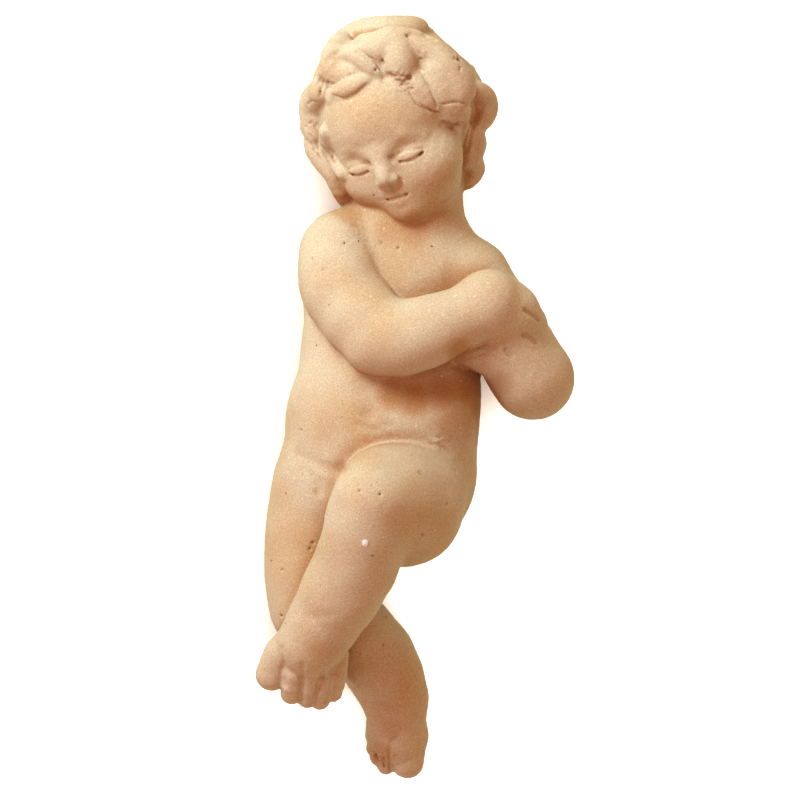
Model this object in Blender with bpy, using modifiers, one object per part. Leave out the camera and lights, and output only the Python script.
"""A lying infant figure in plain terracotta, arms crossed on the chest and one leg over the other.

The figure is one solid. Its masses are balls and tapered limbs, built as Blender primitives, melted
together by a voxel remesh and then drawn onto a smooth blended surface, as thumbs would press clay.
Named lengths are metres. The form is laid out in squares, each a share of the figure's own length:
x to the figure's left, y from toe to crown, z up from the floor it lies on.
"""

import math

import bmesh
import bpy
import numpy as np
from mathutils import Matrix, Vector

FIGURE_LENGTH = 0.400  # toe to forelock
HEAD_HEIGHT = 0.0966  # chin to crown of the skull
EYE_HEIGHT = 1.5525  # above the floor, from where the drawing is seen
DRAWN_HEIGHT = 0.0525  # above the floor, where a square is seen true
DRAWN_MIDDLE = 0.1979  # distance from toe to the point straight under the eye
COARSE_VOXEL = 0.0017
FINE_VOXEL = 0.0011
SETTLE = 0.0006  # height above the floor that still counts as touching it
SQUARE = FIGURE_LENGTH / 762

MOST_TRIANGLES = 9800
SIDES = 20  # of each primitive in the pile
NEAR = 30 * SQUARE  # beyond a mass, in which it still matters
FAR = 1.0
CLAY_RGB = (0.78, 0.52, 0.34, 1.0)
CLAY_ROUGHNESS = 0.85


def in_squares(metres):
    return metres / SQUARE


def smooth_union(a, b, blend):
    """Lower of two distances, rounded over where they differ by less than blend."""
    overlap = np.maximum(blend - np.abs(a - b), 0.0)
    return np.minimum(a, b) - overlap * overlap / (4.0 * blend)


class Ball:
    """An ellipsoid, given by its centre, its three radii and a turn in degrees."""

    def __init__(self, centre, radii, turn=(0, 0, 0)):
        self.centre = Vector(centre)
        self.radii = Vector(radii if hasattr(radii, "__len__") else (radii,) * 3)
        spin = [Matrix.Rotation(math.radians(angle), 3, axis) for angle, axis in zip(turn, "XYZ")]
        self.turn = spin[2] @ spin[1] @ spin[0]
        self.reach = max(self.radii)

    def distance(self, points):
        local = (points - np.array(self.centre)) @ np.array(self.turn)
        scaled = local / np.array(self.radii)
        inner = np.linalg.norm(scaled, axis=1)
        slope = np.linalg.norm(scaled / np.array(self.radii), axis=1)
        return inner * (inner - 1.0) / np.maximum(slope, 1e-9)

    def add_mesh(self, mesh, frame):
        place = frame @ Matrix.Translation(self.centre) @ self.turn.to_4x4() @ Matrix.Diagonal((*self.radii, 1))
        bmesh.ops.create_uvsphere(mesh, u_segments=SIDES, v_segments=SIDES // 2, radius=1.0, matrix=place)


class Taper:
    """A round limb between two stations, each (x, y, z, radius)."""

    def __init__(self, start, end):
        self.start, self.end = Vector(start[:3]), Vector(end[:3])
        self.r1, self.r2 = start[3], end[3]
        self.centre = (self.start + self.end) / 2
        self.reach = (self.end - self.start).length / 2 + max(self.r1, self.r2)

    def distance(self, points):
        axis = np.array(self.end - self.start)
        length2 = float(axis @ axis)
        shrink = self.r1 - self.r2
        slant2 = length2 - shrink * shrink
        offset = points - np.array(self.start)
        along = offset @ axis
        beyond = along - length2
        side = offset * length2 - np.outer(along, axis)
        side2 = (side * side).sum(1)
        along2, beyond2 = along * along * length2, beyond * beyond * length2
        k = np.sign(shrink) * shrink * shrink * side2
        past_end = np.sign(beyond) * slant2 * beyond2 > k
        past_start = np.sign(along) * slant2 * along2 < k
        wall = (np.sqrt(side2 * slant2 / length2) + along * shrink) / length2 - self.r1
        wall = np.where(past_start, np.sqrt(side2 + along2) / length2 - self.r1, wall)
        return np.where(past_end, np.sqrt(side2 + beyond2) / length2 - self.r2, wall)

    def add_mesh(self, mesh, frame):
        axis = self.end - self.start
        turn = axis.to_track_quat("Z", "Y").to_matrix().to_4x4()
        place = frame @ Matrix.Translation(self.centre) @ turn
        bmesh.ops.create_cone(mesh, cap_ends=True, segments=SIDES, radius1=self.r1, radius2=self.r2,
                              depth=axis.length, matrix=place)
        for end, radius in ((self.start, self.r1), (self.end, self.r2)):
            bmesh.ops.create_uvsphere(mesh, u_segments=SIDES, v_segments=SIDES // 2, radius=radius,
                                      matrix=frame @ Matrix.Translation(end))


def curved(stations, steps, pull):
    """The stations of a smooth curve through the given ones; pull is how far it swings out at a bend."""
    rows = [np.array(station, float) for station in stations]
    ends = [2 * rows[0] - rows[1], *rows, 2 * rows[-1] - rows[-2]]
    dense = [rows[0]]
    for before, a, b, after in zip(ends, ends[1:], ends[2:], ends[3:]):
        for i in range(1, steps + 1):
            t = i / steps
            leave, arrive = (b - before) * pull, (after - a) * pull
            dense.append((2 * t**3 - 3 * t**2 + 1) * a + (t**3 - 2 * t**2 + t) * leave
                         + (3 * t**2 - 2 * t**3) * b + (t**3 - t**2) * arrive)
    return [tuple(row) for row in dense]


def limb(*stations, steps=1, pull=0.5):
    """The tapers that run through a row of stations, along a curve where steps is more than one."""
    row = curved(stations, steps, pull) if steps > 1 and len(stations) > 2 else stations
    return [Taper(a, b) for a, b in zip(row, row[1:])]


class Mass:
    """Forms pressed into one mass, and how softly that mass is pressed onto what is already there.

    Inside a frame the lengths are shares of the frame's scale, as are inner and blend.
    """

    def __init__(self, forms, inner=20.0, blend=8.0, soft_at=None, soft_reach=40.0, soft_blend=40.0,
                 frame=None, near=in_squares(NEAR)):
        self.forms = forms
        self.frame = frame or Matrix.Identity(4)
        self.scale = self.frame.to_scale()[0]
        self.inner = inner
        self.blend = blend * self.scale
        self.soft_at = None if soft_at is None else np.array(soft_at, float)
        self.soft_reach = soft_reach
        self.soft_blend = soft_blend
        self.near = near / self.scale
        middles = [np.array(self.frame @ form.centre) for form in forms]
        self.middle = sum(middles) / len(middles)
        self.reach = near + max(np.linalg.norm(middle - self.middle) + form.reach * self.scale
                                for middle, form in zip(middles, forms))

    def to_local(self, points):
        inverse = np.array(self.frame.inverted())
        return points @ inverse[:3, :3].T + inverse[:3, 3]

    def blend_at(self, points):
        if self.soft_at is None:
            return self.blend
        away = np.linalg.norm(points - self.soft_at, axis=1) / self.soft_reach
        return self.blend + (self.soft_blend - self.blend) * np.exp(-away * away)

    def distance(self, points):
        local = self.to_local(points)
        total = np.full(len(points), in_squares(FAR))
        for form in self.forms:
            near = np.linalg.norm(local - np.array(form.centre), axis=1) < form.reach + self.near
            if near.any():
                total[near] = smooth_union(total[near], form.distance(local[near]), self.inner)
        return total * self.scale

    def add_mesh(self, mesh):
        for form in self.forms:
            shell = bmesh.new()
            form.add_mesh(shell, self.frame)
            shape = bpy.data.meshes.new("shape")
            shell.to_mesh(shape)
            shell.free()
            mesh.from_mesh(shape)
            bpy.data.meshes.remove(shape)


class Groove:
    """A crease pressed along a line of points, or a ridge where depth is negative."""

    def __init__(self, line, depth, width, frame=None):
        frame = frame or Matrix.Identity(4)
        scale = frame.to_scale()[0]
        self.line = [np.array(frame @ Vector(point)) for point in line]
        self.depth = depth * scale
        self.width = width * scale
        self.middle = sum(self.line) / len(self.line)
        self.reach = max(np.linalg.norm(point - self.middle) for point in self.line) + 2.5 * self.width

    def press(self, points):
        """How far the surface is pressed in at each point."""
        pressed = np.zeros(len(points))
        near = np.linalg.norm(points - self.middle, axis=1) < self.reach
        if near.any():
            nearest = np.full(near.sum(), in_squares(FAR))
            for a, b in zip(self.line, self.line[1:] or self.line):
                axis = b - a
                offset = points[near] - a
                along = np.clip((offset @ axis) / max(axis @ axis, 1e-9), 0.0, 1.0)
                nearest = np.minimum(nearest, np.linalg.norm(offset - np.outer(along, axis), axis=1))
            pressed[near] = self.depth * np.exp(-(nearest / self.width) ** 2)
        return pressed


def touch_down(drawn, parts, steps=40, close_enough=0.2):
    """Where the eye's line through each drawn (x, y) first meets the clay, or else passes closest."""
    drawn = np.array(drawn, float)
    eye = np.array((0.0, in_squares(DRAWN_MIDDLE), in_squares(EYE_HEIGHT)))
    sight = np.column_stack((drawn, np.full(len(drawn), in_squares(DRAWN_HEIGHT)))) - eye
    sight /= np.linalg.norm(sight, axis=1)[:, None]
    drop = eye[2] - 2.5 * in_squares(DRAWN_HEIGHT)
    points = eye + sight * (drop / -sight[:, 2])[:, None]
    best, best_gap = points.copy(), np.full(len(points), in_squares(FAR))
    for _ in range(steps):
        gap = surface_distance(points, parts, [])
        closer = (gap < best_gap) & (best_gap > close_enough)
        best[closer], best_gap[closer] = points[closer], gap[closer]
        points = points + sight * np.clip(gap, close_enough, 2.0 * in_squares(NEAR))[:, None]
    return best


def closely(row, step=5.0):
    """The same drawn row with points no further than step apart."""
    dense = [row[0]]
    for a, b in zip(row, row[1:]):
        count = max(1, math.ceil(math.dist(a, b) / step))
        dense += [tuple(np.array(a) + (np.array(b) - np.array(a)) * (i + 1) / count) for i in range(count)]
    return dense


def laid(stations, parts, tuck):
    """A limb drawn as rows of (x, y, radius) and laid on the clay, tuck of its radius sunk in."""
    places = touch_down([station[:2] for station in stations], parts)
    return limb(*((*place[:2], place[2] - tuck * station[2], station[2])
                  for place, station in zip(places, stations)))


def torso():
    return Mass(
        [
            Ball((-22, 298, 66), (98, 64, 62)),
            Ball((-17, 362, 73), (98, 74, 69)),
            Ball((-7, 440, 67), (92, 88, 61)),
            Ball((4, 500, 62), (88, 52, 50)),
            *limb((-50, 508, 68, 37), (70, 495, 68, 37)),
            Ball((-62, 280, 46), (42, 42, 50)),
            Ball((16, 284, 46), (40, 40, 50)),
            Ball((-42, 490, 44), (34, 46, 46)),
            Ball((46, 488, 44), (32, 44, 46)),
        ],
        inner=34,
    )


def neck():
    return Mass([*limb((26, 520, 72, 45), (20, 590, 74, 42)), *limb((-40, 526, 74, 40), (4, 572, 74, 40))],
                blend=24)


def right_arm():
    return Mass(
        limb((-61, 526, 92, 38), (-54, 486, 108, 42), (-45, 445, 126, 42), (20, 452, 148, 39),
             (84, 474, 146, 33), steps=3, pull=0.35),
        inner=16, blend=4, soft_at=(-66, 558, 78), soft_reach=36, soft_blend=26,
    )


def left_arm():
    return Mass(
        limb((72, 497, 78, 38), (134, 398, 90, 38), (106, 424, 112, 29), (62, 438, 116, 24),
             steps=3, pull=0.25),
        inner=12, blend=5, soft_at=(66, 500, 76), soft_reach=42, soft_blend=30,
    )


def right_hand():
    return [
        Mass(limb((88, 474, 143, 32), (108, 464, 130, 28), (122, 452, 116, 24)), inner=8, blend=10),
        Mass(
            [
                *limb((106, 488, 120, 11), (119, 478, 115, 11), (132, 462, 100, 10), steps=2),
                *limb((108, 468, 132, 12), (124, 456, 122, 11.5), (138, 442, 106, 10), steps=2),
                *limb((102, 451, 136, 11), (120, 438, 127, 10.5), (134, 425, 113, 9), steps=2),
                *limb((94, 435, 134, 10), (106, 424, 129, 9), (118, 413, 121, 8), steps=2),
            ],
            inner=3, blend=8, near=14,
        ),
    ]


def right_leg():
    return Mass(
        limb((-66, 296, 58, 58), (-82, 235, 56, 52), (-80, 172, 62, 44), (-55, 152, 56, 43), (-24, 112, 42, 38),
             (-4, 70, 32, 31), steps=2),
        inner=14, blend=10, soft_at=(-70, 300, 60), soft_reach=60, soft_blend=30,
    )


def left_leg():
    return Mass(
        limb((13, 286, 60, 56), (4, 271, 114, 60), (-35, 272, 165, 49), (-48, 217, 148, 47),
             (-76, 156, 126, 36), steps=2, pull=0.42),
        inner=16, blend=5, soft_at=(30, 276, 40), soft_reach=50, soft_blend=22,
    )


INSTEP = (-90, 124, 116)


def right_foot():
    return [
        Mass([*limb((-4, 70, 32, 31), (-3, 32, 26, 28)), Ball((-4, 36, 24), (29, 24, 19))], inner=5, blend=8),
        Mass(
            [
                *limb((7, 27, 26, 17), (7, 6.5, 24, 16)),
                *limb((-11, 24, 25, 9), (-14, 3, 22, 9)),
                *limb((-19, 30, 25, 8.5), (-23, 11, 20, 8)),
                *limb((-23, 37, 24, 8), (-28, 22, 19, 7)),
                *limb((-26, 46, 23, 7.5), (-31, 33, 18, 6)),
            ],
            inner=2, blend=3, near=14,
        ),
    ]


def left_foot():
    return [
        Mass([*limb((-76, 156, 126, 36), (-90, 134, 120, 33)), Ball((-93, 129, 112), (38, 25, 21))],
             inner=5, blend=8),
        Mass(
            [
                *limb((-119, 124, 112, 17), (-129, 103, 106, 15)),
                *limb((-104, 128, 116, 10), (-106, 106, 114, 10), (-109, 81, 103, 9.5), steps=2),
                *limb((-88, 128, 116, 9.5), (-90, 104, 113, 9.5), (-94, 77, 101, 9), steps=2),
                *limb((-74, 126, 113, 8.5), (-76, 102, 109, 8.8), (-80, 75, 98, 8.5), steps=2),
                *limb((-61, 121, 110, 8), (-62, 103, 105, 8), (-66, 83, 97, 7.8), steps=2),
            ],
            inner=2, blend=3, soft_at=INSTEP, soft_reach=20, soft_blend=9, near=14,
        ),
    ]


HEAD_CENTRE = (-3, 657, 100)
HEAD_ROLL, HEAD_BOW, HEAD_YAW = 22.0, 16.0, -27.0
SKULL = ((0, 0.10, -0.06), (0.41, 0.39, 0.45))
SCALP = ((0, 0.12, -0.10), (0.425, 0.39, 0.45))
WHORL = Vector((0.10, 0.72, -0.69)).normalized()


def head_frame():
    """Face forward along +z, crown along +y; the frame leans, bows and turns it.

    Lengths inside it are shares of the head's height, crown to chin, with the brow at y = 0.
    """
    lean = Matrix.Rotation(math.radians(HEAD_ROLL), 4, "Z")
    bow = Matrix.Rotation(math.radians(HEAD_BOW), 4, "X")
    yaw = Matrix.Rotation(math.radians(HEAD_YAW), 4, "Y")
    return Matrix.Translation(HEAD_CENTRE) @ lean @ bow @ yaw @ Matrix.Scale(in_squares(HEAD_HEIGHT), 4)


def both_sides(make):
    """What make builds for side -1 and for side 1."""
    return [make(side) for side in (-1, 1)]


def head():
    return Mass(
        [
            Ball(*SKULL),
            Ball((0, 0.06, 0.12), (0.31, 0.26, 0.27)),
            Ball((0, -0.17, 0.09), (0.33, 0.25, 0.265)),
            *both_sides(lambda s: Ball((s * 0.165, -0.225, 0.18), (0.165, 0.155, 0.155))),
            Ball((0, -0.315, 0.23), (0.13, 0.11, 0.14)),
            Ball((0, -0.425, 0.245), (0.095, 0.075, 0.10)),
            Ball((0, -0.39, 0.08), (0.25, 0.12, 0.19)),
        ],
        inner=0.10, blend=0.027, soft_at=(20, 560, 70), soft_reach=30, soft_blend=14, frame=head_frame(),
    )


def face_features():
    frame = head_frame()
    return [
        Mass([form for s in (-1, 1) for form in limb((s * 0.07, -0.040, 0.346, 0.03),
                                                     (s * 0.15, -0.018, 0.322, 0.03),
                                                     (s * 0.225, -0.045, 0.268, 0.026))],
             inner=0.03, blend=0.05, frame=frame, near=12),
        Mass(limb((0, -0.05, 0.365, 0.028), (0, -0.13, 0.382, 0.030), (0, -0.20, 0.412, 0.040)),
             inner=0.03, blend=0.06, frame=frame, near=12),
        Mass(both_sides(lambda s: Ball((s * 0.040, -0.219, 0.392), (0.029, 0.026, 0.032))),
             inner=0.01, blend=0.022, frame=frame, near=12),
        Mass(both_sides(lambda s: Ball((s * 0.148, -0.125, 0.295), (0.082, 0.062, 0.074), (0, s * 14, 0))),
             inner=0.01, blend=0.022, frame=frame, near=12),
        Mass(both_sides(lambda s: Taper((s * 0.012, -0.305, 0.352, 0.024), (s * 0.072, -0.322, 0.328, 0.012))),
             inner=0.012, blend=0.018, frame=frame, near=12),
        Mass([Taper((-0.03, -0.354, 0.335, 0.026), (0.03, -0.354, 0.335, 0.026))],
             inner=0.01, blend=0.02, frame=frame, near=12),
    ]


def face_marks():
    frame = head_frame()
    return [
        *both_sides(lambda s: Groove([(s * 0.148, -0.062, 0.37)], 0.012, 0.045, frame)),
        *both_sides(lambda s: Groove([(s * 0.058, -0.105, 0.36)], 0.016, 0.028, frame)),
        *both_sides(lambda s: Groove([(s * 0.082, -0.141, 0.350), (s * 0.113, -0.152, 0.362),
                                      (s * 0.148, -0.157, 0.362), (s * 0.188, -0.152, 0.348),
                                      (s * 0.220, -0.139, 0.322)], 0.015, 0.011, frame)),
        Groove([(-0.078, -0.319, 0.335), (-0.04, -0.332, 0.365), (0, -0.329, 0.378),
                (0.04, -0.332, 0.365), (0.078, -0.319, 0.335)], 0.017, 0.011, frame),
        Groove([(0, -0.255, 0.38), (0, -0.288, 0.38)], 0.008, 0.013, frame),
        Groove([(-0.03, -0.389, 0.335), (0.03, -0.389, 0.335)], 0.011, 0.020, frame),
    ]


def scalp_point(turn, fall, lift):
    """A point lift above the scalp, fall degrees from the whorl and turn degrees around it."""
    across = WHORL.cross(Vector((1, 0, 0))).normalized()
    along = WHORL.cross(across)
    turn, fall = math.radians(turn), math.radians(fall)
    way = WHORL * math.cos(fall) + (across * math.cos(turn) + along * math.sin(turn)) * math.sin(fall)
    centre, radii = Vector(SCALP[0]), Vector(SCALP[1])
    return way, centre + Vector(w * (r + lift) for w, r in zip(way, radii))


def combed_lock(turn, fall, length, thick, hand, stretches=6):
    """A wavy lock combed away from the whorl, its tip hooked to the side that hand says."""
    row = []
    for i in range(stretches + 1):
        t = i / stretches
        radius = thick * (0.62 + 0.46 * math.sin(math.pi * t) - 0.22 * t * t)
        _, place = scalp_point(turn, fall, -radius * (0.15 + 0.6 * (1.0 - t) ** 3))
        row.append((*place, radius))
        heading = hand * math.radians(30 * math.sin(1.7 * math.pi * t) + 110 * max(t - 0.55, 0.0) / 0.45)
        fall += length / stretches * math.cos(heading)
        turn += length / stretches * math.sin(heading) / max(math.sin(math.radians(fall)), 0.3)
    return limb(*row)


def back_hair():
    """Rings of locks around the whorl, left out over the face, the neck and the drawn front locks."""
    turned = head_frame().to_3x3()
    locks = []
    for ring, (count, fall, length, thick) in enumerate(
            ((6, 6, 44, 0.086), (10, 34, 44, 0.088), (13, 64, 40, 0.080), (15, 94, 32, 0.068))):
        for i in range(count):
            turn = 360.0 * (i + 0.5 * (ring % 2)) / count
            way, _ = scalp_point(turn, fall + 0.6 * length, 0.0)
            on_face = way.z > 0.25 and way.y < 0.6
            on_neck = way.y < -0.76
            drawn = (turned @ way).normalized().z > 0.2
            if not (on_face or on_neck or drawn):
                locks += combed_lock(turn, fall, length, thick, hand=(-1) ** (i + ring))
    return locks


def fringe():
    """The roll of hair along the forehead, on which the front locks lie."""
    return [(-74, 690, 10), (-66, 704, 15), (-46, 716, 18), (-18, 722, 20), (10, 718, 20), (34, 704, 20),
            (50, 682, 18), (56, 662, 12)]


def front_locks(bare_head):
    """The locks seen from above, each a row of drawn (x, y, radius)."""
    rows = (
        [(-71, 704, 9), (-65, 722, 13), (-52, 736, 14), (-33, 742, 15), (-12, 744, 15), (9, 744, 15),
         (20, 741, 12)],
        [(-54, 724, 8), (-42, 722, 10), (-31, 714, 10), (-23, 705, 7)],
        [(-64, 685, 6), (-54, 688, 10), (-43, 692, 10), (-34, 697, 5)],
        [(-78, 702, 4.5), (-83, 689, 4.5)],
        [(-69, 700, 4.5), (-72, 690, 4.5), (-79, 683, 4)],
        [(-66, 697, 4.5), (-69, 678, 4)],
        [(-8, 738, 12), (-1, 724, 16), (1, 712, 16), (3, 704, 10)],
        [(10, 704, 8), (20, 692, 11), (30, 680, 10), (38, 668, 5)],
        [(18, 730, 13), (32, 724, 14), (44, 711, 17), (54, 699, 18), (58, 686, 17), (54, 672, 13)],
        [(34, 706, 12), (42, 691, 14), (48, 677, 12), (49, 664, 9)],
        [(46, 662, 9), (60, 662, 10)],
        [(77, 686, 10), (84, 678, 12), (85, 666, 12), (79, 654, 10)],
        [(71, 646, 11), (75, 634, 11), (72, 623, 10)],
        [(70, 619, 11), (73, 608, 11), (67, 598, 10)],
        [(-82, 688, 8), (-90, 679, 9), (-92, 670, 9), (-86, 663, 8)],
        [(-82, 660, 5), (-89, 659, 6), (-94, 652, 6), (-91, 644, 5.5), (-85, 643, 5), (-84, 650, 4)],
        [(-87, 640, 9), (-83, 628, 11), (-74, 614, 11), (-65, 602, 9)],
        [(-66, 602, 9), (-60, 588, 9), (-54, 577, 7), (-48, 574, 6)],
    )
    return [form for row in rows for form in laid(row, bare_head, tuck=0.3)]


def side_hair():
    """The fuller hair over the ears, which shows beyond the cheeks."""
    return Mass(
        [
            *limb((-60, 678, 84, 27), (-62, 648, 82, 26), (-54, 616, 76, 23), (-46, 592, 70, 16)),
            *limb((56, 688, 86, 27), (57, 664, 80, 28), (54, 630, 70, 25), (50, 606, 64, 19)),
        ],
        inner=8, blend=10,
    )


def hair():
    scalp = Mass([Ball(*SCALP), Ball((0, -0.14, -0.20), (0.33, 0.24, 0.25))], inner=0.08, blend=0.03,
                 frame=head_frame())
    sides = side_hair()
    roll = Mass(laid(fringe(), [head(), scalp, sides], tuck=0.55), inner=10, blend=5)
    bare_head = [head(), scalp, sides, roll]
    return [
        scalp, sides, roll,
        Mass(back_hair(), inner=0.014, blend=0.02, frame=head_frame(), near=12),
        Mass(front_locks(bare_head), inner=2.5, blend=4.5, near=12),
    ]


def masses():
    return [torso(), neck(), right_leg(), left_leg(), *right_foot(), *left_foot(),
            left_arm(), right_arm(), *right_hand(), head(), *face_features(), *hair()]


def drawn_groove(row, depth, width, parts):
    return Groove(touch_down(closely(row), parts), depth, width)


def creases(parts):
    """Folds and dents, each a row of drawn (x, y) pressed into the clay it is seen on."""
    rows = (
        ([(-103, 322), (-82, 311), (-62, 306), (-52, 309)], 3.0, 5.0),
        ([(-97, 308), (-84, 296), (-81, 284)], 4, 4.5),
        ([(-30, 362)], 3.5, 7),
        ([(77, 262)], 5, 24),
        ([(126, 467), (138, 459)], 4, 2.6),
        ([(124, 441), (137, 437)], 4, 2.6),
        ([(107, 427), (113, 421)], 4, 2.6),
        ([(-93, 158), (-69, 163)], 1.5, 4),
        ([(-34, 75), (-15, 76)], 1.8, 3),
        ([(-3, 46), (-8, 36), (-5, 24), (-6, 5)], 3.2, 2.4),
        ([(-115, 121), (-114, 97)], 3, 2.4),
        ([(-95, 118), (-99, 80)], 2.8, 2.2),
        ([(-78, 114), (-84, 75)], 2.8, 2.2),
        ([(-68, 108), (-70, 77)], 2.8, 2.2),
        ([(9, 740), (30, 740)], 4, 2.4),
        ([(-15, 698), (0, 704), (8, 701)], 3.5, 2.4),
        ([(43, 653), (62, 654)], 3.5, 2.4),
        ([(73, 675), (75, 665), (70, 645), (66, 628)], 5, 2.6),
    )
    cleft = Groove([(-22, 232, 20), (-22, 258, 6), (-21, 290, 2), (-20, 318, 6)], 11, 9)
    spine = Groove([(-18, 340, 5), (-10, 400, 8), (0, 460, 7), (6, 520, 10)], 4, 10)
    drawn = [drawn_groove(row, depth, width, parts) for row, depth, width in rows]
    return [*drawn, cleft, spine, *face_marks()]


def surface_distance(points, parts, marks):
    """Signed distance, in squares, from points to the blended clay, flat where it lies on the floor."""
    total = np.full(len(points), in_squares(FAR))
    for part in parts:
        near = np.linalg.norm(points - part.middle, axis=1) < part.reach
        if near.any():
            close = points[near]
            total[near] = smooth_union(total[near], part.distance(close), part.blend_at(close))
    for mark in marks:
        total = total + mark.press(points)
    return np.maximum(total, -points[:, 2])


def slope_of(points, parts, marks, step=0.4):
    """Unit normals of the clay at points, and the steepness they were read from."""
    corners = np.array([(1, -1, -1), (-1, -1, 1), (-1, 1, -1), (1, 1, 1)], float)
    slope = sum(np.outer(surface_distance(points + step * c, parts, marks), c) for c in corners)
    slope /= 4.0 * step
    steep = np.linalg.norm(slope, axis=1)
    return slope / np.maximum(steep, 1e-9)[:, None], steep


def mesh_of(obj):
    graph = bpy.context.evaluated_depsgraph_get()
    return bpy.data.meshes.new_from_object(obj.evaluated_get(graph))


def melted(mesh, voxel):
    """The same lump under one closed skin, by a voxel remesh."""
    obj = bpy.data.objects.new("lump", mesh)
    bpy.context.scene.collection.objects.link(obj)
    remesh = obj.modifiers.new("melt", "REMESH")
    remesh.mode = "VOXEL"
    remesh.voxel_size = voxel
    skin = mesh_of(obj)
    bpy.data.objects.remove(obj)
    return skin


def corners_of(mesh):
    points = np.empty(len(mesh.vertices) * 3)
    mesh.vertices.foreach_get("co", points)
    return points.reshape(-1, 3)


def drawn_by_slope(mesh, parts, rounds):
    """Moves the corners down the slope until they lie on the blended surface."""
    points = corners_of(mesh)
    for _ in range(rounds):
        normal, steep = slope_of(points, parts, [])
        gap = surface_distance(points, parts, []) / np.clip(steep, 0.5, 2.0)
        points -= np.clip(gap, -8.0, 8.0)[:, None] * normal
    mesh.vertices.foreach_set("co", points.ravel())
    mesh.update()
    return mesh


def drawn_by_normals(mesh, parts, marks, rounds):
    """Moves the corners along the skin's own normals, with the creases pressed in."""
    for _ in range(rounds):
        points = corners_of(mesh)
        normals = np.empty(points.size)
        mesh.vertex_normals.foreach_get("vector", normals)
        gap = surface_distance(points, parts, marks)
        points -= np.clip(gap, -2.0, 2.0)[:, None] * normals.reshape(-1, 3)
        points[:, 2] = np.maximum(points[:, 2], 0.0)
        mesh.vertices.foreach_set("co", points.ravel())
        mesh.update()
    return mesh


def modelled(parts, marks):
    """The whole figure as one skin, in squares."""
    pile = bmesh.new()
    for part in parts:
        part.add_mesh(pile)
    mesh = bpy.data.meshes.new("pile")
    pile.to_mesh(mesh)
    pile.free()
    rough = drawn_by_slope(melted(mesh, in_squares(COARSE_VOXEL)), parts, rounds=2)
    return drawn_by_normals(melted(rough, in_squares(FINE_VOXEL)), parts, marks, rounds=3)


def thinned(mesh):
    """The same skin with fewer faces, most where the form turns most."""
    obj = bpy.data.objects.new("thick", mesh)
    bpy.context.scene.collection.objects.link(obj)
    thin = obj.modifiers.new("fewer_faces", "DECIMATE")
    mesh.calc_loop_triangles()
    thin.ratio = min(1.0, MOST_TRIANGLES / len(mesh.loop_triangles))
    thin.use_collapse_triangulate = True
    lean = mesh_of(obj)
    bpy.data.objects.remove(obj)
    return lean


def settled(mesh):
    """The figure set over the origin, with the corners that nearly touch the floor flat on it."""
    points = corners_of(mesh)
    points[:, :2] -= (points[:, :2].min(0) + points[:, :2].max(0)) / 2
    points[points[:, 2] < SETTLE, 2] = 0.0
    mesh.vertices.foreach_set("co", points.ravel())
    mesh.update()
    return mesh


def terracotta():
    material = bpy.data.materials.new("terracotta")
    material.use_nodes = True
    shader = material.node_tree.nodes["Principled BSDF"]
    shader.inputs["Base Color"].default_value = CLAY_RGB
    shader.inputs["Roughness"].default_value = CLAY_ROUGHNESS
    return material


def build_figure():
    parts = masses()
    mesh = modelled(parts, creases(parts))
    mesh.transform(Matrix.Scale(SQUARE, 4))
    mesh.materials.append(terracotta())
    figure = bpy.data.objects.new("figure", settled(thinned(mesh)))
    bpy.context.scene.collection.objects.link(figure)
    return figure


def main():
    for obj in list(bpy.data.objects):
        bpy.data.objects.remove(obj)
    build_figure()


main()
